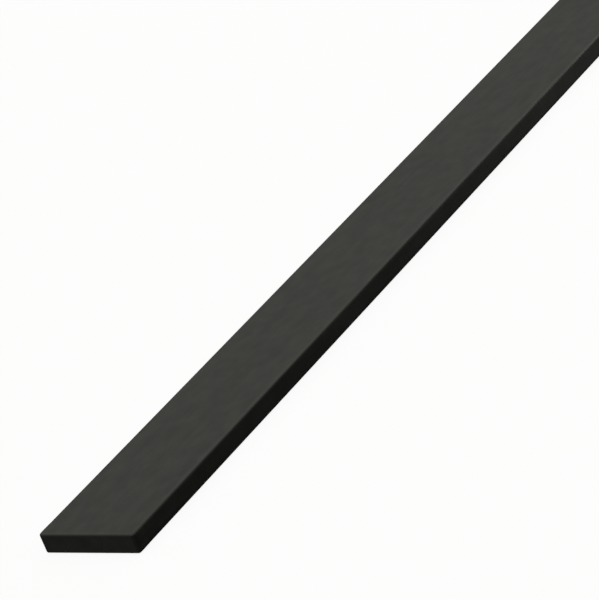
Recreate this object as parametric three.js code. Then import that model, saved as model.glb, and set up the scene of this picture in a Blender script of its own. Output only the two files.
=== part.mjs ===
/*
 * A flat carpenter pencil: two grooved wood slats glued round a flat lead, lacquered black along its
 * length, sealed black over one end and sawn off bare at the other.
 *
 * Millimetres, +Z up. The pencil lies on a broad face with its length along X: the sealed end is at -X
 * and the sawn end at +X. The origin is under its middle, on the surface it lies on.
 *
 * Every section is drawn in the YZ plane, round the pencil's axis, and runs along X. From the outside
 * in, the layers are the lacquer coat, the slats with a glue seam on each side of the lead, the lead's
 * bond and the lead. A hairline lies between neighbours, so that no two solids share a face.
 */
import * as THREE from 'three';

// --- Driving dimensions ---

const LENGTH = 178;
const WIDTH = 15;
const THICKNESS = 2.9;
const EDGE_RADIUS = 0.42; // the long edges, measured over the lacquer

const HAIRLINE = 0.01;
const COAT_FILM = 0.15; // filler, primer and colour coats together
const SEAL_FILM = 0.4; // the seal over the end grain, and the radius of its outer edges
const GLUE_FILM = 0.06;

const LEAD_WIDTH = 5;
const LEAD_HEIGHT = 1.1;
const LEAD_RADIUS = 0.3;

const CORNER_STEPS = 6; // spans round each quarter-circle corner
const END_STEPS = 6; // spans round the seal's outer edges

// --- Places along the pencil ---

const SEALED_END = -LENGTH / 2;
const SAWN_END = LENGTH / 2;
const SEAL_BACK = SEALED_END + SEAL_FILM;
const STOCK_START = SEAL_BACK + HAIRLINE; // where the wood, the lead and the coat begin
const STOCK_LENGTH = SAWN_END - STOCK_START;

// --- Sections, each a rectangle with round corners ---

/** The section that lies inside (or, for a negative depth, outside) another by one film. */
function inset({ width, height, radius }, depth) {
  return { width: width - 2 * depth, height: height - 2 * depth, radius: radius - depth };
}

const COAT_OUTSIDE = { width: WIDTH, height: THICKNESS, radius: EDGE_RADIUS };
const COAT_INSIDE = inset(COAT_OUTSIDE, COAT_FILM);
const WOOD = inset(COAT_INSIDE, HAIRLINE);

const LEAD = { width: LEAD_WIDTH, height: LEAD_HEIGHT, radius: LEAD_RADIUS };
const BOND_INSIDE = inset(LEAD, -HAIRLINE);
const BOND_OUTSIDE = inset(BOND_INSIDE, -GLUE_FILM);
const GROOVE = inset(BOND_OUTSIDE, -HAIRLINE);

/** Points round a section, anticlockwise from its right-hand side, with (x, y) standing for (Y, Z). */
function sectionPoints({ width, height, radius }) {
  const points = [];
  for (let corner = 0; corner < 4; corner += 1) {
    const rightward = corner === 0 || corner === 3 ? 1 : -1;
    const upward = corner < 2 ? 1 : -1;
    for (let step = 0; step <= CORNER_STEPS; step += 1) {
      const angle = (corner + step / CORNER_STEPS) * (Math.PI / 2);
      const y = rightward * (width / 2 - radius) + radius * Math.cos(angle);
      const z = upward * (height / 2 - radius) + radius * Math.sin(angle);
      points.push(new THREE.Vector2(y, z));
    }
  }
  return points;
}

/** The half of a section's outline that lies above the pencil's axis, from right to left. */
function upperHalf(section) {
  return sectionPoints(section).slice(0, 2 * (CORNER_STEPS + 1));
}

// --- Ways to make a solid ---

/** Turns a shape's own axes (x, y, depth) into the pencil's (Y, Z, X). */
const LAY_ALONG_X = new THREE.Matrix4().makeBasis(
  new THREE.Vector3(0, 1, 0),
  new THREE.Vector3(0, 0, 1),
  new THREE.Vector3(1, 0, 0),
);

/** Runs a section's shape along the stock, from the back of the seal to the sawn end. */
function runAlongStock(shape) {
  const geometry = new THREE.ExtrudeGeometry(shape, { depth: STOCK_LENGTH, bevelEnabled: false });
  geometry.applyMatrix4(LAY_ALONG_X);
  geometry.translate(STOCK_START, 0, 0);
  return geometry;
}

/** A skin over a row of rings with equal numbers of points, closed flat over the first and last ring. */
function skinOver(rings) {
  const count = rings[0].section.length;
  const positions = [];
  const triangles = [];
  for (const { x, section } of rings) {
    for (const point of section) {
      positions.push(x, point.x, point.y);
    }
  }
  for (let ring = 0; ring < rings.length - 1; ring += 1) {
    for (let side = 0; side < count; side += 1) {
      const here = ring * count + side;
      const next = ring * count + ((side + 1) % count);
      triangles.push(here, next, here + count);
      triangles.push(next, next + count, here + count);
    }
  }
  const firstCentre = positions.length / 3;
  const lastCentre = firstCentre + 1;
  const lastRing = (rings.length - 1) * count;
  positions.push(rings[0].x, 0, 0);
  positions.push(rings[rings.length - 1].x, 0, 0);
  for (let side = 0; side < count; side += 1) {
    const next = (side + 1) % count;
    triangles.push(firstCentre, next, side);
    triangles.push(lastCentre, lastRing + side, lastRing + next);
  }
  const geometry = new THREE.BufferGeometry();
  geometry.setAttribute('position', new THREE.Float32BufferAttribute(positions, 3));
  geometry.setIndex(triangles);
  geometry.computeVertexNormals();
  return geometry;
}

// --- Sub-parts ---

/** Half of the blank: a flat joint face with half of the lead's groove, and eased outer corners. */
function slatGeometry(side) {
  const joint = GLUE_FILM / 2 + HAIRLINE;
  const outline = [
    new THREE.Vector2(WOOD.width / 2, joint),
    ...upperHalf(WOOD),
    new THREE.Vector2(-WOOD.width / 2, joint),
    new THREE.Vector2(-GROOVE.width / 2, joint),
    ...upperHalf(GROOVE).reverse(),
    new THREE.Vector2(GROOVE.width / 2, joint),
  ];
  const placed = outline.map((point) => new THREE.Vector2(point.x, side * point.y));
  return runAlongStock(new THREE.Shape(placed));
}

/** The flat graphite core. */
function leadGeometry() {
  return runAlongStock(new THREE.Shape(sectionPoints(LEAD)));
}

/** A sleeve between two sections. */
function sleeveGeometry(outside, inside) {
  const shape = new THREE.Shape(sectionPoints(outside));
  shape.holes.push(new THREE.Path(sectionPoints(inside)));
  return runAlongStock(shape);
}

/** The glue between the slats' joint faces, from the lead's bond out to the wood's edge. */
function seamGeometry(side) {
  const inner = BOND_OUTSIDE.width / 2 + HAIRLINE;
  const outer = WOOD.width / 2;
  const geometry = new THREE.BoxGeometry(STOCK_LENGTH, outer - inner, GLUE_FILM);
  geometry.translate(STOCK_START + STOCK_LENGTH / 2, (side * (outer + inner)) / 2, 0);
  return geometry;
}

/** The lacquer over the end grain: flat outside and in, with round edges that run into the coat. */
function sealGeometry() {
  const rings = [];
  for (let step = 0; step <= END_STEPS; step += 1) {
    const angle = (step / END_STEPS) * (Math.PI / 2);
    const drawnIn = inset(COAT_OUTSIDE, SEAL_FILM * (1 - Math.sin(angle)));
    rings.push({ x: SEAL_BACK - SEAL_FILM * Math.cos(angle), section: sectionPoints(drawnIn) });
  }
  return skinOver(rings);
}

// --- The pencil ---

const lacquer = { color: 0x1e1f1d, roughness: 0.42, metalness: 0 };
const basswood = { color: 0xd3b58a, roughness: 0.8, metalness: 0 };
const graphite = { color: 0x3d3e41, roughness: 0.5, metalness: 0 };
const glue = { color: 0xb59a66, roughness: 0.6, metalness: 0 };

const pencil = new THREE.Group();
pencil.position.z = THICKNESS / 2;

function addPart(name, geometry, finish) {
  const mesh = new THREE.Mesh(geometry, new THREE.MeshStandardMaterial(finish));
  mesh.name = name;
  pencil.add(mesh);
}

addPart('upper_slat', slatGeometry(1), basswood);
addPart('lower_slat', slatGeometry(-1), basswood);
addPart('lead_core', leadGeometry(), graphite);
addPart('lead_bond', sleeveGeometry(BOND_OUTSIDE, BOND_INSIDE), glue);
addPart('glue_seam_left', seamGeometry(1), glue);
addPart('glue_seam_right', seamGeometry(-1), glue);
addPart('lacquer_coat', sleeveGeometry(COAT_OUTSIDE, COAT_INSIDE), lacquer);
addPart('end_seal', sealGeometry(), lacquer);

export default pencil;
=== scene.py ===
"""Flat carpenter pencil: lacquer, end seal, grooved slats, lead and glue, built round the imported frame.

Everything is in metres in the part's own frame: the length runs along X from the sealed end to the
sawn end, the width along Y and the thickness up Z. Each piece's place is in its mesh.
"""

import math  # noqa: E402

import bmesh  # noqa: E402
import bpy  # noqa: E402
from mathutils import Matrix, Vector, noise  # noqa: E402


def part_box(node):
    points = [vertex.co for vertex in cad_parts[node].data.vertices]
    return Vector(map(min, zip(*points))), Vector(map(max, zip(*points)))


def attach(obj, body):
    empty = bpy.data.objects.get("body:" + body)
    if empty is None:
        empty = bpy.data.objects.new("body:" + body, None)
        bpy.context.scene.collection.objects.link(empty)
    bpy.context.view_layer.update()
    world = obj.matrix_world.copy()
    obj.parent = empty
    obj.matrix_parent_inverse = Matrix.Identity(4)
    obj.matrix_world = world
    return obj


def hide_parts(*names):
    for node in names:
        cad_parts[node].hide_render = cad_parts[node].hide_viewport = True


bl_info = {
    "name": "Flat Carpenter Pencil",
    "version": (1, 0, 0),
    "blender": (4, 5, 0),
    "location": "3D View > Sidebar > Pencil",
    "description": "Builds the visible pieces of a flat carpenter pencil round its CAD frame",
    "category": "Object",
}

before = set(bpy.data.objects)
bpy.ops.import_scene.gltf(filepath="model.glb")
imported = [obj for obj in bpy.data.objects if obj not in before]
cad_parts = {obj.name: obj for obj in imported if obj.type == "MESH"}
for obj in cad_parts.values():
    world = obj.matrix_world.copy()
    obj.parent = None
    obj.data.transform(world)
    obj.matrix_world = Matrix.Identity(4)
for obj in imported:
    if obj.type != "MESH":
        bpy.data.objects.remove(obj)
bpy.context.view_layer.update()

MM = 0.001
BODY = "root"
SENSOR_WIDTH = 36  # in millimetres, as the lens is
HAIRLINE = 0.01 * MM  # the gap that the frame keeps between neighbours
CUT_MARGIN = 0.1 * MM  # only a piece's end points lie this close to the saw cut

# The stock, measured on the frame's own nodes
COAT_LOW, COAT_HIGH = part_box("lacquer_coat")
SLAT_LOW, SLAT_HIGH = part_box("upper_slat")
LEAD_LOW, LEAD_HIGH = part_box("lead_core")
BOND_LOW, BOND_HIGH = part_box("lead_bond")
SEAL_LOW, SEAL_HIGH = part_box("end_seal")

SEALED_END = SEAL_LOW.x
SAWN_END = COAT_HIGH.x
WIDTH = COAT_HIGH.y - COAT_LOW.y
THICKNESS = COAT_HIGH.z - COAT_LOW.z
AXIS_HEIGHT = (COAT_HIGH.z + COAT_LOW.z) / 2
COAT_FILM = (COAT_HIGH.y - SLAT_HIGH.y) - HAIRLINE
SEAL_FILM = SEAL_HIGH.x - SEAL_LOW.x


# --- Sizes and colours that can be changed ---


def linear(hex_colour):
    """An sRGB hex colour as the linear RGBA that shader sockets take."""
    channels = [int(hex_colour[i : i + 2], 16) / 255 for i in (1, 3, 5)]
    return [c / 12.92 if c <= 0.04045 else ((c + 0.055) / 1.055) ** 2.4 for c in channels] + [1.0]


RGBA = {"size": 4, "min": 0, "max": 1}


class PencilSizes(bpy.types.PropertyGroup):
    """Sizes of what the lacquer, the saw and the seal leave on the surface."""

    edge_radius: bpy.props.FloatProperty(
        name="Edge Radius",
        description="Radius of the four long edges over the lacquer",
        default=0.42 * MM,
        unit="LENGTH",
    )
    end_radius: bpy.props.FloatProperty(
        name="End Radius",
        description="Radius of the sealed end's two upright edges",
        default=0.5 * MM,
        unit="LENGTH",
    )
    grain_relief: bpy.props.FloatProperty(
        name="Grain Relief",
        description="How high the wood's grain stands under the lacquer",
        default=0.010 * MM,
        unit="LENGTH",
    )
    grain_width: bpy.props.FloatProperty(
        name="Grain Width",
        description="Width across the pencil of one grain line",
        default=0.9 * MM,
        unit="LENGTH",
    )
    cut_chip: bpy.props.FloatProperty(
        name="Cut Chip",
        description="How far the lacquer chips back from the saw cut",
        default=0.11 * MM,
        unit="LENGTH",
    )
    saw_spacing: bpy.props.FloatProperty(
        name="Saw Spacing",
        description="Distance between the blade's marks on the sawn end",
        default=0.36 * MM,
        unit="LENGTH",
    )
    saw_depth: bpy.props.FloatProperty(
        name="Saw Depth",
        description="Depth of the blade's marks in the wood",
        default=0.035 * MM,
        unit="LENGTH",
    )
    seal_lap: bpy.props.FloatProperty(
        name="Seal Lap",
        description="How far the end seal feathers out over the coat",
        default=2.2 * MM,
        unit="LENGTH",
    )


class PencilFinish(bpy.types.PropertyGroup):
    """Colours of the pencil's finishes."""

    lacquer: bpy.props.FloatVectorProperty(
        name="Lacquer",
        description="Black of the coat and of the end seal",
        subtype="COLOR",
        default=linear("#1C1D1A"),
        **RGBA,
    )
    wood: bpy.props.FloatVectorProperty(
        name="Basswood",
        description="Pale wood of the slats between the latewood lines",
        subtype="COLOR",
        default=linear("#D9BD93"),
        **RGBA,
    )
    lead: bpy.props.FloatVectorProperty(
        name="Lead",
        description="Grey of the graphite and clay lead",
        subtype="COLOR",
        default=linear("#525255"),
        **RGBA,
    )
    glue: bpy.props.FloatVectorProperty(
        name="Glue",
        description="Amber of the dried glue",
        subtype="COLOR",
        default=linear("#B8935A"),
        **RGBA,
    )


# --- Helpers ---


def add_node(tree, kind, inputs=(), **settings):
    """Adds a node, sets its properties, and sets or links its inputs, given by name or in order.

    A node that is given as an input stands for its first output.
    """
    node = tree.nodes.new(kind)
    for name, value in settings.items():
        setattr(node, name, value)
    pairs = inputs.items() if isinstance(inputs, dict) else enumerate(inputs)
    for key, value in pairs:
        if isinstance(value, bpy.types.Node):
            value = value.outputs[0]
        if isinstance(value, bpy.types.NodeSocket):
            tree.links.new(value, node.inputs[key])
        else:
            node.inputs[key].default_value = value
    return node


def new_piece(name, mesh, replaced):
    """Puts a finished mesh into the scene as a piece that rides on the pencil's one body."""
    piece = bpy.data.objects.new(name, mesh)
    bpy.context.scene.collection.objects.link(piece)
    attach(piece, BODY)
    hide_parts(replaced)
    return piece


def run_nodes(mesh, tree, values):
    """The plain mesh that a geometry node tree makes from a mesh, with its named inputs set."""
    carrier = bpy.data.objects.new(tree.name, mesh)
    bpy.context.scene.collection.objects.link(carrier)
    modifier = carrier.modifiers.new(tree.name, "NODES")
    modifier.node_group = tree
    for item in tree.interface.items_tree:
        if item.in_out == "INPUT" and item.name in values:
            modifier[item.identifier] = values[item.name]
    depsgraph = bpy.context.evaluated_depsgraph_get()
    made = bpy.data.meshes.new_from_object(
        carrier.evaluated_get(depsgraph), preserve_all_data_layers=True, depsgraph=depsgraph
    )
    carrier.modifiers.remove(modifier)
    bpy.data.objects.remove(carrier)
    return made


def new_geometry_tree(name, sizes):
    """A geometry node tree with a mesh in and out, a material, and a named input for each size."""
    tree = bpy.data.node_groups.new(name, "GeometryNodeTree")
    tree.interface.new_socket("Geometry", in_out="OUTPUT", socket_type="NodeSocketGeometry")
    tree.interface.new_socket("Geometry", in_out="INPUT", socket_type="NodeSocketGeometry")
    for size, kind in {**sizes, "Material": "Material"}.items():
        tree.interface.new_socket(size, in_out="INPUT", socket_type="NodeSocket" + kind)
    group_input = tree.nodes.new("NodeGroupInput")
    group_output = tree.nodes.new("NodeGroupOutput")
    return tree, group_input.outputs, group_output.inputs


def spread(low, high, count):
    """Evenly spaced values from low to high, both included."""
    return [low + (high - low) * i / (count - 1) for i in range(count)]


def smoothstep(low, high, value):
    """0 below low, 1 above high, and a smooth rise between them."""
    t = min(max((value - low) / (high - low), 0.0), 1.0)
    return t * t * (3 - 2 * t)


# --- Sections and solids ---

CORNER_SPANS = 5


def corner_arc(y, z, radius, start, end):
    """Points (y, z) of a round corner about a centre, from one angle in quarter turns to another."""
    angles = [a * math.pi / 2 for a in spread(start, end, CORNER_SPANS + 1)]
    return [(y + radius * math.cos(a), z + radius * math.sin(a)) for a in angles]


def joined(*runs):
    """One outline out of runs of points that meet end to end."""
    outline = list(runs[0])
    for run in runs[1:]:
        outline += run[1:]
    return outline


def straight(start, end, spans):
    """Points from start to end, evenly spaced."""
    return list(zip(spread(start[0], end[0], spans + 1), spread(start[1], end[1], spans + 1)))


def round_halves(width, height, radius, spans):
    """The lower and upper outline of a rectangle with round corners, both from -Y to +Y."""
    y = width / 2 - radius
    z = height / 2 - radius
    low_left = corner_arc(-y, -z, radius, 2, 3)
    low_right = corner_arc(y, -z, radius, 3, 4)
    low = joined(low_left, straight(low_left[-1], low_right[0], spans), low_right)
    high = [(across, -up) for across, up in low]
    return low, high


def edge_inset(depth, radius):
    """How far a round edge still lies inside the full outline, at a depth behind the end face."""
    to_centre = max(radius - depth, 0.0)
    return radius - math.sqrt(radius**2 - to_centre**2)


def grid_between(low, high, row_spans, x):
    """Rows of points at one place along the pencil, from the low outline to the high one."""
    rows = []
    for share in spread(0, 1, row_spans + 1):
        rows.append(
            [
                Vector((x, a[0] + (b[0] - a[0]) * share, AXIS_HEIGHT + a[1] + (b[1] - a[1]) * share))
                for a, b in zip(low, high)
            ]
        )
    return rows


def rim(rows):
    """The points round a grid, anticlockwise seen from the sawn end."""
    low = rows[0][:-1]
    right = [row[-1] for row in rows[:-1]]
    high = rows[-1][:0:-1]
    left = [row[0] for row in rows[:0:-1]]
    return low + right + high + left


def loft(name, stations):
    """A closed solid through grids of one size: the first and the last are filled in."""
    builder = bmesh.new()
    rings = []
    for index, rows in enumerate(stations):
        if index in (0, len(stations) - 1):
            made = [[builder.verts.new(point) for point in row] for row in rows]
            for near, far in zip(made, made[1:]):
                for corner in range(len(near) - 1):
                    builder.faces.new((near[corner], near[corner + 1], far[corner + 1], far[corner]))
            rings.append(rim(made))
        else:
            rings.append([builder.verts.new(point) for point in rim(rows)])
    for ring, following in zip(rings, rings[1:]):
        for i in range(len(ring)):
            j = (i + 1) % len(ring)
            builder.faces.new((ring[i], ring[j], following[j], following[i]))
    bmesh.ops.recalc_face_normals(builder, faces=builder.faces)
    for face in builder.faces:
        face.smooth = True
    mesh = bpy.data.meshes.new(name)
    builder.to_mesh(mesh)
    builder.free()
    return mesh


# --- Materials ---


# The Mix node's colour sockets, which share their names with its number and vector ones
MIX_A = 6
MIX_B = 7
MIX_OUT = 2


def per_mm(along, across, up):
    """The Mapping scale that gives a pattern one cell for each of these lengths in millimetres."""
    return (1 / (along * MM), 1 / (across * MM), 1 / (up * MM))


def patterned(tree, texture, place, cell_mm, settings=None):
    """A texture whose pattern has one cell for each of these lengths in millimetres."""
    sized = add_node(tree, "ShaderNodeMapping", {"Vector": place, "Scale": per_mm(*cell_mm)})
    return add_node(tree, texture, {"Vector": sized, "Scale": 1.0, **(settings or {})})


def shade(colour, share):
    """A darker or lighter form of a linear colour."""
    return [channel * share for channel in colour[:3]] + [1.0]


def new_material(name, **fixed):
    """A node material with its Principled shader's constant sockets set."""
    material = bpy.data.materials.new(name)
    material.use_nodes = True
    tree = material.node_tree
    shader = tree.nodes["Principled BSDF"]
    for socket, value in fixed.items():
        shader.inputs[socket.replace("_", " ")].default_value = value
    return material, tree, shader


def connect(tree, shader, **sources):
    """Links sources to the shader's inputs."""
    for socket, source in sources.items():
        tree.links.new(source, shader.inputs[socket.replace("_", " ")])


def depth_inside(tree, place, half_width, half_height):
    """How deep a place lies in a section round the pencil's axis, below its sides (Y) and faces (Z)."""
    from_axis = add_node(tree, "ShaderNodeVectorMath", [place, (0, 0, AXIS_HEIGHT)], operation="SUBTRACT")
    size = add_node(tree, "ShaderNodeVectorMath", [from_axis], operation="ABSOLUTE")
    depth = add_node(
        tree, "ShaderNodeVectorMath", [(0, half_width, half_height), size], operation="SUBTRACT"
    )
    return add_node(tree, "ShaderNodeSeparateXYZ", [depth]).outputs


def edge_closeness(tree, place, band):
    """1 on the pencil's long edges and on the sealed end's edges, falling to 0 a band's width away."""
    inward = depth_inside(tree, place, WIDTH / 2, THICKNESS / 2)
    along = add_node(tree, "ShaderNodeSeparateXYZ", [place])
    from_end = add_node(tree, "ShaderNodeMath", [along.outputs["X"], SEALED_END], operation="SUBTRACT")
    nearest = add_node(tree, "ShaderNodeMath", [inward["Y"], inward["Z"]], operation="MINIMUM")
    long_edge = add_node(tree, "ShaderNodeMath", [inward["Y"], inward["Z"]], operation="MAXIMUM")
    end_edge = add_node(tree, "ShaderNodeMath", [from_end, nearest], operation="MAXIMUM")
    closest = add_node(tree, "ShaderNodeMath", [long_edge, end_edge], operation="MINIMUM")
    fade = add_node(
        tree, "ShaderNodeMapRange", [closest, 0.0, band, 1.0, 0.0], interpolation_type="SMOOTHSTEP"
    )
    return fade.outputs["Result"]


def satin_lacquer(name, colour, roughness, grain_across, peel_mm):
    """Nitrocellulose lacquer drawn on in thin coats through a felt gasket, with a flatting agent.

    It gives the eye a deep even black with a soft sheen: faint lines along the length from the felt
    and from the wood beneath, a fine peel between them, and a slight polish where hands rub the edges.
    There the colour is also painted lighter: partly wear, partly a painted highlight along the edges.
    """
    material, tree, shader = new_material(name, IOR=1.5, Specular_IOR_Level=0.5)
    place = add_node(tree, "ShaderNodeTexCoord").outputs["Object"]

    felt_cell = (34, grain_across, grain_across)
    felt_detail = {"Detail": 4.0, "Roughness": 0.55}
    drawn = patterned(tree, "ShaderNodeTexNoise", place, felt_cell, felt_detail)
    cloud = patterned(tree, "ShaderNodeTexNoise", place, (18, 7, 7), {"Detail": 3.0})
    mottle = patterned(tree, "ShaderNodeTexNoise", place, (2.6, 1.7, 1.7), {"Detail": 3.0})
    peel = patterned(tree, "ShaderNodeTexNoise", place, (peel_mm * 1.6, peel_mm, peel_mm), {"Detail": 2.0})
    edge = edge_closeness(tree, place, 0.55 * MM)

    # Thin spots let a little more light back than deep ones
    thinness = add_node(tree, "ShaderNodeMapRange", [mottle, 0.3, 0.7, 0.0, 1.0])
    tone = add_node(
        tree,
        "ShaderNodeMix",
        {"Factor": thinness, MIX_A: shade(colour, 0.55), MIX_B: shade(colour, 1.45)},
        data_type="RGBA",
    )
    # The edges' colour is painted lighter: partly wear of the lacquer, partly a painted highlight
    worn_and_highlit_edges = add_node(
        tree,
        "ShaderNodeMix",
        {"Factor": edge, MIX_A: tone.outputs[MIX_OUT], MIX_B: shade(colour, 1.5)},
        data_type="RGBA",
    )

    # Roughness: the felt's lines, then the clouds, then the polish of the edges
    felt = add_node(tree, "ShaderNodeMapRange", [drawn, 0.3, 0.7, -0.035, 0.035])
    patches = add_node(tree, "ShaderNodeMapRange", [mottle, 0.3, 0.7, 0.03, -0.03])
    haze = add_node(
        tree, "ShaderNodeMapRange", [cloud, 0.3, 0.7, roughness - 0.04, roughness + 0.04]
    )
    blotched = add_node(tree, "ShaderNodeMath", [patches, haze], operation="ADD")
    spread_of_light = add_node(tree, "ShaderNodeMath", [felt, blotched], operation="ADD")
    polished = add_node(tree, "ShaderNodeMath", [edge, -0.07, spread_of_light], operation="MULTIPLY_ADD")

    lines = add_node(
        tree, "ShaderNodeBump", {"Height": drawn, "Strength": 0.5, "Distance": 0.012 * MM}
    )
    skin = add_node(
        tree,
        "ShaderNodeBump",
        {"Height": peel, "Normal": lines, "Strength": 0.5, "Distance": 0.012 * MM},
    )
    connect(
        tree,
        shader,
        Base_Color=worn_and_highlit_edges.outputs[MIX_OUT],
        Roughness=polished.outputs[0],
        Normal=skin.outputs[0],
    )
    return material


def sawn_basswood(name, colour, latewood, pith):
    """Basswood, planed to slats and sawn across: pale, even and fine, with faint growth rings.

    It gives the eye a matt cream end grain with thin tan ring lines, small dark pores between them,
    and a stain where the black lacquer has soaked in round the rim.
    """
    material, tree, shader = new_material(name, IOR=1.48, Specular_IOR_Level=0.3)
    place = add_node(tree, "ShaderNodeTexCoord").outputs["Object"]

    # The tree's pith lies well outside the pencil, so its rings cross the end as shallow arcs
    ring_spacing = 1.3 * MM
    wave_cycles = 20 / (2 * math.pi)  # the wave texture's own, in one unit of its vector
    from_pith = add_node(
        tree, "ShaderNodeMapping", {"Vector": place, "Location": (0, -pith[0] * MM, -pith[1] * MM)}
    )
    rings = add_node(
        tree,
        "ShaderNodeTexWave",
        {
            "Vector": from_pith,
            "Scale": 1 / (ring_spacing * wave_cycles),
            "Distortion": 1.4,
            "Detail": 3.0,
            "Detail Scale": 0.35,
        },
        wave_type="RINGS",
        rings_direction="X",
        wave_profile="SAW",
    )
    fibres = patterned(tree, "ShaderNodeTexNoise", place, (9, 0.16, 0.16), {"Detail": 5.0})
    # Real pores are about 0.06 mm wide: they are drawn a little coarser, so that they show
    pores = patterned(tree, "ShaderNodeTexVoronoi", place, (14, 0.19, 0.19))
    pore_mask = add_node(tree, "ShaderNodeMapRange", [pores.outputs["Distance"], 0.12, 0.28, 0.3, 0])
    late = add_node(tree, "ShaderNodeMapRange", [rings.outputs["Fac"], 0.55, 1.0, 0.0, 0.9])
    ringed = add_node(
        tree, "ShaderNodeMix", {"Factor": late, MIX_A: colour, MIX_B: latewood}, data_type="RGBA"
    )
    fibrous = add_node(
        tree,
        "ShaderNodeMix",
        {"Factor": fibres, MIX_A: shade(colour, 0.8), MIX_B: ringed.outputs[MIX_OUT]},
        data_type="RGBA",
    )
    porous = add_node(
        tree,
        "ShaderNodeMix",
        {"Factor": pore_mask, MIX_A: fibrous.outputs[MIX_OUT], MIX_B: shade(latewood, 0.4)},
        data_type="RGBA",
    )

    # Lacquer soaks a fraction of a millimetre into the end grain from its rim
    inward = depth_inside(tree, place, WIDTH / 2 - COAT_FILM, THICKNESS / 2 - COAT_FILM)
    nearest = add_node(tree, "ShaderNodeMath", [inward["Y"], inward["Z"]], operation="MINIMUM")
    ragged = add_node(
        tree, "ShaderNodeMath", [fibres, -0.12 * MM, nearest], operation="MULTIPLY_ADD"
    )
    soaked = add_node(tree, "ShaderNodeMapRange", [ragged, -0.05 * MM, 0.1 * MM, 0.8, 0])
    stained = add_node(
        tree,
        "ShaderNodeMix",
        {"Factor": soaked, MIX_A: porous.outputs[MIX_OUT], MIX_B: linear("#3A3128")},
        data_type="RGBA",
    )

    roughness = add_node(tree, "ShaderNodeMapRange", [fibres, 0.2, 0.8, 0.9, 0.72])
    nap = add_node(
        tree, "ShaderNodeBump", {"Height": fibres, "Strength": 0.7, "Distance": 0.05 * MM}
    )
    pits = add_node(
        tree,
        "ShaderNodeBump",
        {"Height": pore_mask, "Normal": nap, "Strength": 0.6, "Distance": 0.05 * MM},
        invert=True,
    )
    connect(
        tree,
        shader,
        Base_Color=stained.outputs[MIX_OUT],
        Roughness=roughness.outputs[0],
        Normal=pits.outputs[0],
    )
    return material


def fired_lead(colour):
    """Graphite and clay, extruded flat, fired, soaked in wax and sawn across with the wood.

    It gives the eye a cool dark grey with a soft metallic sheen, smeared into lines by the blade,
    and small flakes of graphite with a painted glint: lighter grey specks in the colour.
    """
    material, tree, shader = new_material("fired_graphite_lead", IOR=1.8, Metallic=0.35)
    place = add_node(tree, "ShaderNodeTexCoord").outputs["Object"]
    smear = patterned(tree, "ShaderNodeTexNoise", place, (5, 0.9, 0.09), {"Detail": 4.0})
    flakes = patterned(tree, "ShaderNodeTexVoronoi", place, (0.1, 0.1, 0.1))
    bright = add_node(tree, "ShaderNodeSeparateColor", [flakes.outputs["Color"]])
    # Painted glint: a few flake cells get a lighter grey colour that stands in for their reflections
    painted_flake_glint = add_node(tree, "ShaderNodeMapRange", [bright, 0.8, 1.0, 0.0, 0.35])
    tone = add_node(
        tree,
        "ShaderNodeMix",
        {"Factor": smear, MIX_A: shade(colour, 0.8), MIX_B: colour},
        data_type="RGBA",
    )
    # The light grey below is the painted glint on the flakes
    tone_with_painted_glint = add_node(
        tree,
        "ShaderNodeMix",
        {"Factor": painted_flake_glint, MIX_A: tone.outputs[MIX_OUT], MIX_B: linear("#8C8E93")},
        data_type="RGBA",
    )
    roughness = add_node(tree, "ShaderNodeMapRange", [smear, 0.3, 0.7, 0.52, 0.34])
    bump = add_node(
        tree, "ShaderNodeBump", {"Height": smear, "Strength": 0.4, "Distance": 0.008 * MM}
    )
    connect(
        tree,
        shader,
        Base_Color=tone_with_painted_glint.outputs[MIX_OUT],
        Roughness=roughness.outputs[0],
        Normal=bump.outputs[0],
    )
    return material


def dried_glue(colour):
    """White wood glue pressed thin between the slats and dried clear.

    It gives the eye a hard amber line, a little glossy, darker where it was squeezed thinner.
    """
    material, tree, shader = new_material("dried_wood_glue", IOR=1.47)
    place = add_node(tree, "ShaderNodeTexCoord").outputs["Object"]
    pooled = patterned(tree, "ShaderNodeTexNoise", place, (4, 0.7, 0.3), {"Detail": 3.0})
    tone = add_node(
        tree,
        "ShaderNodeMix",
        {"Factor": pooled, MIX_A: shade(colour, 0.55), MIX_B: colour},
        data_type="RGBA",
    )
    roughness = add_node(tree, "ShaderNodeMapRange", [pooled, 0.3, 0.7, 0.3, 0.5])
    bump = add_node(
        tree, "ShaderNodeBump", {"Height": pooled, "Strength": 0.5, "Distance": 0.02 * MM}
    )
    connect(
        tree,
        shader,
        Base_Color=tone.outputs[MIX_OUT],
        Roughness=roughness.outputs[0],
        Normal=bump.outputs[0],
    )
    return material


def lit_acrylic(name, albedo, glow, strength):
    """Opal acrylic lit from behind, as a product table is: it gives the eye an even white."""
    material, _, shader = new_material(name, Roughness=0.9, Specular_IOR_Level=0.0)
    shader.inputs["Base Color"].default_value = (albedo, albedo, albedo, 1.0)
    shader.inputs["Emission Color"].default_value = glow
    shader.inputs["Emission Strength"].default_value = strength
    return material


# --- Geometry node trees ---


def smooth_with_sharp_corners(tree, geometry):
    """Shades faces smooth and marks the edges between faces that turn sharply as sharp."""
    sharp_turn = math.radians(35)
    smooth = add_node(tree, "GeometryNodeSetShadeSmooth", {"Geometry": geometry})
    turn = add_node(tree, "GeometryNodeInputMeshEdgeAngle")
    corner = add_node(
        tree,
        "FunctionNodeCompare",
        [turn.outputs["Unsigned Angle"], sharp_turn],
        data_type="FLOAT",
        operation="GREATER_THAN",
    )
    sharp = add_node(
        tree,
        "GeometryNodeSetShadeSmooth",
        {"Geometry": smooth, "Selection": corner, "Shade Smooth": False},
        domain="EDGE",
    )
    return sharp.outputs[0]


def finish_tree(tree, geometry, given, made):
    """Ends a tree in Realize Instances and Set Material."""
    real = add_node(tree, "GeometryNodeRealizeInstances", {"Geometry": geometry})
    painted = add_node(tree, "GeometryNodeSetMaterial", {"Geometry": real, "Material": given["Material"]})
    tree.links.new(painted.outputs[0], made["Geometry"])


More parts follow.
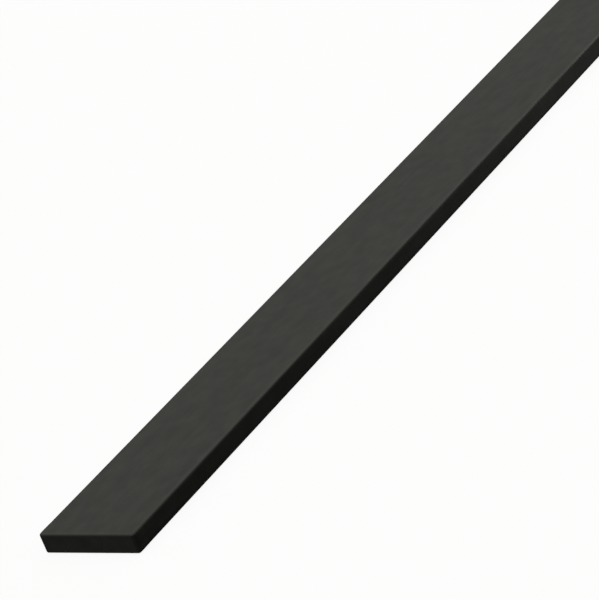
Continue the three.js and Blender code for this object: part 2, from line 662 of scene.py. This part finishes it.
def cut_back(tree, geometry, place, plane, depth):
    """Moves the points past a plane, which are those on the sawn end, back by a depth."""
    along = add_node(tree, "ShaderNodeSeparateXYZ", [place])
    at_cut = add_node(
        tree, "FunctionNodeCompare", [along.outputs["X"], plane], data_type="FLOAT", operation="GREATER_THAN"
    )
    backward = add_node(tree, "ShaderNodeMath", [depth, -1.0], operation="MULTIPLY")
    shift = add_node(tree, "ShaderNodeCombineXYZ", [backward])
    moved = add_node(
        tree, "GeometryNodeSetPosition", {"Geometry": geometry, "Selection": at_cut, "Offset": shift}
    )
    return moved.outputs[0]


def lacquer_sleeve_tree(length_points, across_points, up_points):
    """A sleeve of lacquer: a bore with round corners grown outwards by the film, with relief outside."""
    tree, given, made = new_geometry_tree(
        "Lacquer Sleeve",
        {
            "Bore Centre": "Vector",
            "Bore Size": "Vector",
            "Bore Core": "Vector",
            "Film": "Float",
            "Grain Relief": "Float",
            "Grain Scale": "Vector",
            "Cut Plane": "Float",
            "Cut Chip": "Float",
            "Chip Scale": "Float",
            "Seed": "Float",
        },
    )
    box = add_node(
        tree,
        "GeometryNodeMeshCube",
        {
            "Size": given["Bore Size"],
            "Vertices X": length_points,
            "Vertices Y": across_points,
            "Vertices Z": up_points,
        },
    )

    # Open both ends
    facing = add_node(tree, "ShaderNodeSeparateXYZ", [add_node(tree, "GeometryNodeInputNormal")])
    slope = add_node(tree, "ShaderNodeMath", [facing.outputs["X"]], operation="ABSOLUTE")
    is_end = add_node(tree, "FunctionNodeCompare", [slope, 0.5], data_type="FLOAT", operation="GREATER_THAN")
    tube = add_node(
        tree,
        "GeometryNodeDeleteGeometry",
        {"Geometry": box.outputs["Mesh"], "Selection": is_end},
        domain="FACE",
    )

    # Round the corners: what lies outside the core is drawn from a square onto a circle
    place = add_node(tree, "GeometryNodeInputPosition").outputs[0]
    opposite = add_node(
        tree, "ShaderNodeVectorMath", {0: given["Bore Core"], "Scale": -1.0}, operation="SCALE"
    )
    below = add_node(tree, "ShaderNodeVectorMath", [place, given["Bore Core"]], operation="MINIMUM")
    core = add_node(tree, "ShaderNodeVectorMath", [below, opposite], operation="MAXIMUM")
    outside = add_node(tree, "ShaderNodeVectorMath", [place, core], operation="SUBTRACT")
    reach = add_node(tree, "ShaderNodeVectorMath", [outside], operation="LENGTH")
    sides = add_node(tree, "ShaderNodeVectorMath", [outside], operation="ABSOLUTE")
    side = add_node(tree, "ShaderNodeSeparateXYZ", [sides])
    longest = add_node(tree, "ShaderNodeMath", [side.outputs["Y"], side.outputs["Z"]], operation="MAXIMUM")
    drawn_in = add_node(tree, "ShaderNodeMath", [longest, reach.outputs["Value"]], operation="DIVIDE")
    turned = add_node(tree, "ShaderNodeVectorMath", {0: outside, "Scale": drawn_in}, operation="SCALE")
    rounded = add_node(tree, "ShaderNodeVectorMath", [core, turned], operation="ADD")
    placed = add_node(tree, "ShaderNodeVectorMath", [rounded, given["Bore Centre"]], operation="ADD")
    bore = add_node(tree, "GeometryNodeSetPosition", {"Geometry": tube, "Position": placed})

    # Grow the film outwards, raise the grain on it, and close the sleeve with the bore's own wall
    film = add_node(
        tree,
        "GeometryNodeExtrudeMesh",
        {"Mesh": bore, "Offset Scale": given["Film"], "Individual": False},
        mode="FACES",
    )
    grain_place = add_node(tree, "ShaderNodeVectorMath", [place, given["Grain Scale"]], operation="MULTIPLY")
    grain = add_node(
        tree,
        "ShaderNodeTexNoise",
        {"Vector": grain_place, "W": given["Seed"], "Scale": 1.0, "Detail": 2.0},
        noise_dimensions="4D",
    )
    above_middle = add_node(tree, "ShaderNodeMath", [grain, 0.5], operation="SUBTRACT")
    height = add_node(tree, "ShaderNodeMath", [above_middle, given["Grain Relief"]], operation="MULTIPLY")
    outward = add_node(
        tree,
        "ShaderNodeVectorMath",
        {0: add_node(tree, "GeometryNodeInputNormal"), "Scale": height},
        operation="SCALE",
    )
    raised = add_node(
        tree,
        "GeometryNodeSetPosition",
        {"Geometry": film.outputs["Mesh"], "Selection": film.outputs["Top"], "Offset": outward},
    )
    bore_wall = add_node(tree, "GeometryNodeFlipFaces", {"Mesh": bore})
    both = add_node(tree, "GeometryNodeJoinGeometry", {"Geometry": bore_wall})
    tree.links.new(raised.outputs[0], both.inputs[0])
    closed = add_node(tree, "GeometryNodeMergeByDistance", {"Geometry": both, "Distance": 0.001 * MM})

    # Chip the film back from the saw cut
    flaking = add_node(
        tree,
        "ShaderNodeTexNoise",
        {"Vector": place, "W": given["Seed"], "Scale": given["Chip Scale"], "Detail": 3.0},
        noise_dimensions="4D",
    )
    bite = add_node(tree, "ShaderNodeMapRange", [flaking, 0.42, 0.8, 0.0, 1.0])
    back = add_node(tree, "ShaderNodeMath", [bite, given["Cut Chip"]], operation="MULTIPLY")
    chipped = cut_back(tree, closed.outputs[0], place, given["Cut Plane"], back.outputs[0])
    finish_tree(tree, smooth_with_sharp_corners(tree, chipped), given, made)
    return tree


def saw_cut_tree():
    """Marks a circular saw's passes, and the torn fibres between them, into a solid's sawn end."""
    tree, given, made = new_geometry_tree(
        "Saw Cut",
        {
            "Cut Plane": "Float",
            "Blade Centre": "Vector",
            "Saw Spacing": "Float",
            "Saw Depth": "Float",
            "Fibre Scale": "Float",
            "Fibre Depth": "Float",
            "Seed": "Float",
        },
    )
    place = add_node(tree, "GeometryNodeInputPosition").outputs[0]
    from_blade = add_node(tree, "ShaderNodeVectorMath", [place, given["Blade Centre"]], operation="DISTANCE")
    wander_scale = 900.0  # cells in a metre
    wander = add_node(
        tree,
        "ShaderNodeTexNoise",
        {"Vector": place, "W": given["Seed"], "Scale": wander_scale, "Detail": 2.0},
        noise_dimensions="4D",
    )
    passes = add_node(
        tree, "ShaderNodeMath", [from_blade.outputs["Value"], given["Saw Spacing"]], operation="DIVIDE"
    )
    uneven = add_node(tree, "ShaderNodeMath", [passes, wander], operation="ADD")
    turns = add_node(tree, "ShaderNodeMath", [uneven, 2 * math.pi], operation="MULTIPLY")
    ridge = add_node(tree, "ShaderNodeMath", [turns], operation="SINE")
    ridge_share = add_node(tree, "ShaderNodeMath", [ridge, 0.5, 0.5], operation="MULTIPLY_ADD")
    ridge_depth = add_node(tree, "ShaderNodeMath", [ridge_share, given["Saw Depth"]], operation="MULTIPLY")
    torn = add_node(
        tree,
        "ShaderNodeTexNoise",
        {"Vector": place, "W": given["Seed"], "Scale": given["Fibre Scale"], "Detail": 3.0},
        noise_dimensions="4D",
    )
    depth = add_node(
        tree,
        "ShaderNodeMath",
        [torn, given["Fibre Depth"], ridge_depth],
        operation="MULTIPLY_ADD",
    )
    cut = cut_back(tree, given["Geometry"], place, given["Cut Plane"], depth.outputs[0])
    finish_tree(tree, smooth_with_sharp_corners(tree, cut), given, made)
    return tree


# --- Operators: one for each piece or group of like pieces, and one for the stage ---


class PENCIL_OT_stage(bpy.types.Operator):
    """Sets up the camera, the pale table and the light tent round it"""

    bl_idname = "pencil.stage"
    bl_label = "Stage"

    aim: bpy.props.FloatVectorProperty(
        name="Aim",
        description="The point on the pencil that the camera looks at",
        default=(-0.03095, 0.00367, 0.00145),
        unit="LENGTH",
    )
    azimuth: bpy.props.FloatProperty(
        name="Azimuth",
        description="The camera's direction round the pencil, from -Y towards +X",
        default=math.radians(-50.05),
        unit="ROTATION",
    )
    elevation: bpy.props.FloatProperty(
        name="Elevation",
        description="The camera's height above the table, as an angle",
        default=math.radians(22.92),
        unit="ROTATION",
    )
    roll: bpy.props.FloatProperty(
        name="Roll",
        description="The camera's turn about its own line of sight",
        default=math.radians(-21.29),
        unit="ROTATION",
    )
    distance: bpy.props.FloatProperty(
        name="Distance", description="From the camera to the aim", default=0.4049, unit="LENGTH"
    )
    lens: bpy.props.FloatProperty(
        name="Lens", description="Focal length in millimetres", default=179.7, unit="CAMERA"
    )
    softbox_power: bpy.props.FloatProperty(
        name="Softbox Power", description="Of the softbox beyond the sawn end", default=1.0, unit="POWER"
    )

    def execute(self, context):
        self.add_camera(context.scene)
        self.add_table(context.scene)
        self.add_sky(context.scene)
        self.add_softbox(context.scene)
        context.scene.view_settings.view_transform = "Standard"
        return {"FINISHED"}

    def add_camera(self, scene):
        data = bpy.data.cameras.new("camera")
        data.lens = self.lens
        data.sensor_width = SENSOR_WIDTH
        data.clip_start = 0.01
        camera = bpy.data.objects.new("camera", data)
        towards = Vector(
            (
                math.sin(self.azimuth) * math.cos(self.elevation),
                -math.cos(self.azimuth) * math.cos(self.elevation),
                math.sin(self.elevation),
            )
        )
        level = (-towards).to_track_quat("-Z", "Y").to_matrix()
        camera.location = Vector(self.aim) + towards * self.distance
        camera.rotation_euler = (level @ Matrix.Rotation(self.roll, 3, "Z")).to_euler()
        scene.collection.objects.link(camera)
        scene.camera = camera

    def add_table(self, scene):
        """A round table top of lit acrylic, and a backdrop of the same tone that only the camera sees."""
        drop = 0.01 * MM
        reach = 3.0
        dome_reach = reach * 1.01
        top = bmesh.new()
        bmesh.ops.create_circle(top, cap_ends=True, segments=64, radius=reach)
        bmesh.ops.translate(top, verts=top.verts, vec=(0, 0, -drop))
        dome = bmesh.new()
        bmesh.ops.create_uvsphere(dome, u_segments=64, v_segments=32, radius=dome_reach)
        for name, builder, material in (
            ("table_top", top, lit_acrylic("lit_table_acrylic", 0.1, linear("#FEFEFE"), 0.915)),
            ("backdrop", dome, lit_acrylic("lit_backdrop_acrylic", 0.0, linear("#FDFEFC"), 1.0)),
        ):
            mesh = bpy.data.meshes.new(name)
            builder.to_mesh(mesh)
            builder.free()
            mesh.materials.append(material)
            stage = bpy.data.objects.new(name, mesh)
            # Neither lights the pencil nor is mirrored in it, so that its sides stay black
            stage.visible_glossy = False
            stage.visible_diffuse = False
            stage.visible_shadow = name == "table_top"
            scene.collection.objects.link(stage)

    def add_sky(self, scene):
        """A soft light tent: brightest overhead, dim at the horizon, with patches of ground below it."""
        world = bpy.data.worlds.new("light_tent")
        world.use_nodes = True
        tree = world.node_tree
        direction = add_node(tree, "ShaderNodeTexCoord").outputs["Generated"]
        height = add_node(tree, "ShaderNodeSeparateXYZ", [direction])
        light = 0.06  # what the tent gives from every side
        for low, high, strength in ((-0.1, 0.3, 0.19), (0.27, 0.9, 0.72)):
            layer = add_node(
                tree,
                "ShaderNodeMapRange",
                [height.outputs["Z"], low, high, 0, strength],
                interpolation_type="SMOOTHSTEP",
            )
            light = add_node(tree, "ShaderNodeMath", [light, layer], operation="ADD").outputs[0]
        # Each patch: its azimuth from +X towards +Y, elevation and reach in degrees, then its strength
        for azimuth, elevation, reach, strength in (
            (-50, -24, 52, -0.245),  # dark ground past the near end of the side face
            (-16, -9, 27, 0.6),  # pale ground past its far end
            (140, -23, 45, 0.072),  # pale ground past the sealed end
        ):
            a, e = math.radians(azimuth), math.radians(elevation)
            centre = (math.cos(a) * math.cos(e), math.sin(a) * math.cos(e), math.sin(e))
            nearness = add_node(tree, "ShaderNodeVectorMath", [direction, centre], operation="DOT_PRODUCT")
            glow = add_node(
                tree,
                "ShaderNodeMapRange",
                [nearness.outputs["Value"], math.cos(math.radians(reach)), 1.0, 0, strength],
                interpolation_type="SMOOTHSTEP",
            )
            light = add_node(tree, "ShaderNodeMath", [light, glow], operation="ADD").outputs[0]
        darkest = 0.02
        least = add_node(tree, "ShaderNodeMath", [light, darkest], operation="MAXIMUM")
        tree.links.new(least.outputs[0], tree.nodes["Background"].inputs["Strength"])
        tree.nodes["Background"].inputs["Color"].default_value = linear("#FDFFF5")
        scene.world = world

    def add_softbox(self, scene):
        """A softbox beyond the sawn end, which lights the end grain and grazes the rest."""
        width, height = 0.3, 0.2
        beyond_end = (0.6, -0.05, 0.1)
        data = bpy.data.lights.new("end_softbox", "AREA")
        data.shape = "RECTANGLE"
        data.size, data.size_y = width, height
        data.energy = self.softbox_power
        softbox = bpy.data.objects.new("end_softbox", data)
        softbox.location = beyond_end
        softbox.rotation_euler = (-softbox.location).to_track_quat("-Z", "Y").to_euler()
        softbox.visible_camera = False
        scene.collection.objects.link(softbox)


class PENCIL_OT_lacquer_coat(bpy.types.Operator):
    """Draws the lacquer sleeve along the wood, and chips it at the saw cut"""

    bl_idname = "pencil.lacquer_coat"
    bl_label = "Lacquer Coat"

    def execute(self, context):
        sizes = context.scene.pencil_sizes
        bore_radius = sizes.edge_radius - COAT_FILM
        if bore_radius <= 0:
            raise ValueError("the edge radius has to be larger than the lacquer film")
        seal_gap = 0.05 * MM  # from the seal's hidden wall to the sleeve
        start = SEALED_END + sizes.end_radius + seal_gap
        length = SAWN_END - start
        bore_width = WIDTH - 2 * COAT_FILM
        bore_height = THICKNESS - 2 * COAT_FILM
        tree = lacquer_sleeve_tree(length_points=119, across_points=98, up_points=20)
        values = {
            "Bore Centre": (start + length / 2, 0.0, AXIS_HEIGHT),
            "Bore Size": (length, bore_width, bore_height),
            "Bore Core": (length, bore_width / 2 - bore_radius, bore_height / 2 - bore_radius),
            "Film": COAT_FILM,
            "Grain Relief": sizes.grain_relief,
            "Grain Scale": per_mm(40, sizes.grain_width / MM, sizes.grain_width / MM),
            "Cut Plane": SAWN_END - CUT_MARGIN,
            "Cut Chip": sizes.cut_chip,
            "Chip Scale": 1 / (0.9 * MM),
            "Seed": 3.0,
            "Material": satin_lacquer(
                "satin_nitrocellulose_lacquer",
                context.scene.pencil_finish.lacquer,
                roughness=0.37,
                grain_across=0.5,
                peel_mm=0.8,
            ),
        }
        mesh = run_nodes(bpy.data.meshes.new("lacquer_sleeve"), tree, values)
        new_piece("lacquer_sleeve", mesh, "lacquer_coat")
        return {"FINISHED"}


class PENCIL_OT_end_seal(bpy.types.Operator):
    """Seals the near end with lacquer that rounds its edges and feathers out over the coat"""

    bl_idname = "pencil.end_seal"
    bl_label = "End Seal"

    def execute(self, context):
        sizes = context.scene.pencil_sizes
        mesh = loft("end_seal_film", self.end_stations(sizes) + self.lap_stations(sizes))
        mesh.materials.append(
            satin_lacquer(
                "satin_lacquer_over_end_grain",
                context.scene.pencil_finish.lacquer,
                roughness=0.4,
                grain_across=0.35,
                peel_mm=0.5,
            )
        )
        new_piece("end_seal_film", mesh, "end_seal")
        return {"FINISHED"}

    def section(self, x, radius, side_inset=0.0, face_inset=0.0):
        """The coat's outline, drawn in from its sides and faces, as a grid at one place along the pencil."""
        least_radius = 0.05 * MM
        corner = max(radius - max(side_inset, face_inset), least_radius)
        low, high = round_halves(WIDTH - 2 * side_inset, THICKNESS - 2 * face_inset, corner, spans=110)
        return grid_between(low, high, row_spans=20, x=x)

    def end_stations(self, sizes):
        """The face over the end grain, and the round edges that bring it out to the coat's outline."""
        stations = []
        rings = 13
        for angle in spread(0, math.pi / 2, rings):
            depth = sizes.end_radius * (1 - math.cos(angle))
            stations.append(
                self.section(
                    SEALED_END + depth,
                    sizes.edge_radius,
                    side_inset=edge_inset(depth, sizes.end_radius),
                    face_inset=edge_inset(depth, SEAL_FILM),
                )
            )
        for row in stations[0]:
            for point in row:
                point.x += self.end_relief(point, sizes.end_radius)
        return stations

    def end_relief(self, point, end_radius):
        """How far the paint sinks at a point of the end: over the lead, and between its brush marks."""
        lead_sink = 0.018 * MM
        brush_depth = 0.008 * MM
        rim_width = 0.35 * MM
        noise_slice = 3.1
        half_lead = (LEAD_HIGH - LEAD_LOW) / 2
        beyond_lead = max(abs(point.y) - half_lead.y, abs(point.z - AXIS_HEIGHT) - half_lead.z)
        sink = lead_sink * (1 - smoothstep(-0.15 * MM, 0.2 * MM, beyond_lead))
        grain = noise.noise(Vector((noise_slice, point.y / (0.8 * MM), point.z / (0.4 * MM))))
        from_rim = min(
            WIDTH / 2 - end_radius - abs(point.y), THICKNESS / 2 - SEAL_FILM - abs(point.z - AXIS_HEIGHT)
        )
        return smoothstep(0, rim_width, from_rim) * (brush_depth * (1 + grain) + sink)

    def lap_stations(self, sizes):
        """The skirt that thins out over the coat and dives into it, and its hidden inner wall."""
        skirt_rise = 0.014 * MM
        skirt_dive = 0.02 * MM
        buried = 0.045 * MM
        stations = []
        rings = 9
        for share in spread(0.12, 1, rings):
            rise = skirt_rise * smoothstep(0, 0.2, share) * (1 - share) ** 0.8 - skirt_dive * share**6
            stations.append(self.lap(sizes, share, -rise))
        stations.append(self.lap(sizes, 0.985, buried))
        back = SEALED_END + sizes.end_radius
        stations.append(self.section(back, sizes.edge_radius, buried, buried))
        return stations

    def lap(self, sizes, share, inset):
        """One ring of the skirt: its far edge wanders, as the wet film's does."""
        wander_share = 0.25
        noise_slice = 7.7
        rows = self.section(SEALED_END + sizes.end_radius, sizes.edge_radius, inset, inset)
        for row in rows:
            for point in row:
                wander = noise.noise(Vector((noise_slice, point.y / (2.6 * MM), point.z / (1.6 * MM))))
                point.x += share * sizes.seal_lap * (1 + wander_share * wander)
        return rows


class PENCIL_OT_slats(bpy.types.Operator):
    """Cuts the two grooved slats of basswood and saws their far ends"""

    bl_idname = "pencil.slats"
    bl_label = "Slats"

    def execute(self, context):
        # The slats come from two boards, each with its own pith at (Y, Z) in millimetres, so their
        # rings don't run on across the glue
        latewood = linear("#A07A48")
        for name, side, pith in (("upper_slat", 1, (24, -17)), ("lower_slat", -1, (-27, -12))):
            colour = context.scene.pencil_finish.wood
            wood = sawn_basswood("sawn_basswood_" + name, colour, latewood, pith)
            low, high = self.outlines(name, side, context.scene.pencil_sizes.edge_radius)
            places = (SLAT_LOW.x, 0.0, SLAT_HIGH.x)
            stations = [grid_between(low, high, row_spans=12, x=x) for x in places]
            solid = loft(name + "_blank", stations)
            mesh = saw_end(context, solid, wood, 1.0, fibre_depth=0.03 * MM, fibre_mm=0.22, seed=side + 5.0)
            new_piece(name + "_wood", mesh, name)
        return {"FINISHED"}

    def outlines(self, node, side, edge_radius):
        """The joint face with half the groove, and the outer face with its eased corners."""
        slat_low, slat_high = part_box(node)
        half_width = slat_high.y
        face = max(abs(slat_low.z - AXIS_HEIGHT), abs(slat_high.z - AXIS_HEIGHT))
        joint = min(abs(slat_low.z - AXIS_HEIGHT), abs(slat_high.z - AXIS_HEIGHT))
        groove = BOND_HIGH.y + HAIRLINE
        groove_top = BOND_HIGH.z - AXIS_HEIGHT + HAIRLINE
        groove_radius = 0.38 * MM
        joint_spans, wall_spans, roof_spans = 44, 2, 38
        radius = edge_radius - COAT_FILM - HAIRLINE
        left_wall = corner_arc(-groove + groove_radius, groove_top - groove_radius, groove_radius, 2, 1)
        right_wall = corner_arc(groove - groove_radius, groove_top - groove_radius, groove_radius, 1, 0)
        inner = joined(
            straight((-half_width, joint), (-groove, joint), joint_spans),
            straight((-groove, joint), left_wall[0], wall_spans),
            left_wall,
            straight(left_wall[-1], right_wall[0], roof_spans),
            right_wall,
            straight(right_wall[-1], (groove, joint), wall_spans),
            straight((groove, joint), (half_width, joint), joint_spans),
        )
        left_corner = corner_arc(-half_width + radius, face - radius, radius, 2, 1)
        right_corner = corner_arc(half_width - radius, face - radius, radius, 1, 0)
        outer_spans = len(inner) - 1 - 2 * CORNER_SPANS
        outer = joined(left_corner, straight(left_corner[-1], right_corner[0], outer_spans), right_corner)
        return [(y, side * z) for y, z in inner], [(y, side * z) for y, z in outer]


class PENCIL_OT_lead(bpy.types.Operator):
    """Presses the flat lead and saws its far end with the wood"""

    bl_idname = "pencil.lead"
    bl_label = "Lead"

    def execute(self, context):
        lead_radius = 0.3 * MM
        size = LEAD_HIGH - LEAD_LOW
        low, high = round_halves(size.y, size.z, lead_radius, spans=52)
        places = (LEAD_LOW.x, 0.0, LEAD_HIGH.x)
        stations = [grid_between(low, high, row_spans=12, x=x) for x in places]
        solid = loft("lead_blank", stations)
        lead = fired_lead(context.scene.pencil_finish.lead)
        mesh = saw_end(context, solid, lead, 0.3, fibre_depth=0.012 * MM, fibre_mm=0.5, seed=11.0)
        new_piece("lead_core_graphite", mesh, "lead_core")
        return {"FINISHED"}


class PENCIL_OT_glue(bpy.types.Operator):
    """Gives the frame's own glue seams and lead bond the look of dried glue"""

    bl_idname = "pencil.glue"
    bl_label = "Glue"

    def execute(self, context):
        glue = dried_glue(context.scene.pencil_finish.glue)
        for node in ("glue_seam_left", "glue_seam_right", "lead_bond"):
            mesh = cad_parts[node].data
            mesh.materials.clear()
            mesh.materials.append(glue)
        return {"FINISHED"}


def saw_end(context, solid, material, mark_share, fibre_depth, fibre_mm, seed):
    """Runs the saw cut's node tree over a solid's far end, with marks a share as deep as in the wood."""
    sizes = context.scene.pencil_sizes
    tree = bpy.data.node_groups.get("Saw Cut") or saw_cut_tree()
    return run_nodes(
        solid,
        tree,
        {
            "Cut Plane": SAWN_END - CUT_MARGIN,
            "Blade Centre": (SAWN_END, 30 * MM, -95 * MM),
            "Saw Spacing": sizes.saw_spacing,
            "Saw Depth": sizes.saw_depth * mark_share,
            "Fibre Scale": 1 / (fibre_mm * MM),
            "Fibre Depth": fibre_depth,
            "Seed": seed,
            "Material": material,
        },
    )


class PENCIL_PT_sidebar(bpy.types.Panel):
    """Lists the pencil's operators, sizes and colours"""

    bl_label = "Flat Carpenter Pencil"
    bl_space_type = "VIEW_3D"
    bl_region_type = "UI"
    bl_category = "Pencil"

    def draw(self, context):
        for operator in OPERATORS:
            self.layout.operator(operator.bl_idname)
        for group in (context.scene.pencil_sizes, context.scene.pencil_finish):
            box = self.layout.box()
            for name in group.bl_rna.properties.keys():
                if name not in ("rna_type", "name"):
                    box.prop(group, name)


OPERATORS = (
    PENCIL_OT_stage,
    PENCIL_OT_lacquer_coat,
    PENCIL_OT_end_seal,
    PENCIL_OT_slats,
    PENCIL_OT_lead,
    PENCIL_OT_glue,
)
CLASSES = (PencilSizes, PencilFinish, *OPERATORS, PENCIL_PT_sidebar)


def register():
    for cls in CLASSES:
        bpy.utils.register_class(cls)
    bpy.types.Scene.pencil_sizes = bpy.props.PointerProperty(type=PencilSizes)
    bpy.types.Scene.pencil_finish = bpy.props.PointerProperty(type=PencilFinish)


def unregister():
    del bpy.types.Scene.pencil_finish
    del bpy.types.Scene.pencil_sizes
    for cls in reversed(CLASSES):
        bpy.utils.unregister_class(cls)


def main():
    register()
    bpy.ops.pencil.stage()
    bpy.ops.pencil.lacquer_coat()
    bpy.ops.pencil.end_seal()
    bpy.ops.pencil.slats()
    bpy.ops.pencil.lead()
    bpy.ops.pencil.glue()


if __name__ == "__main__":
    main()
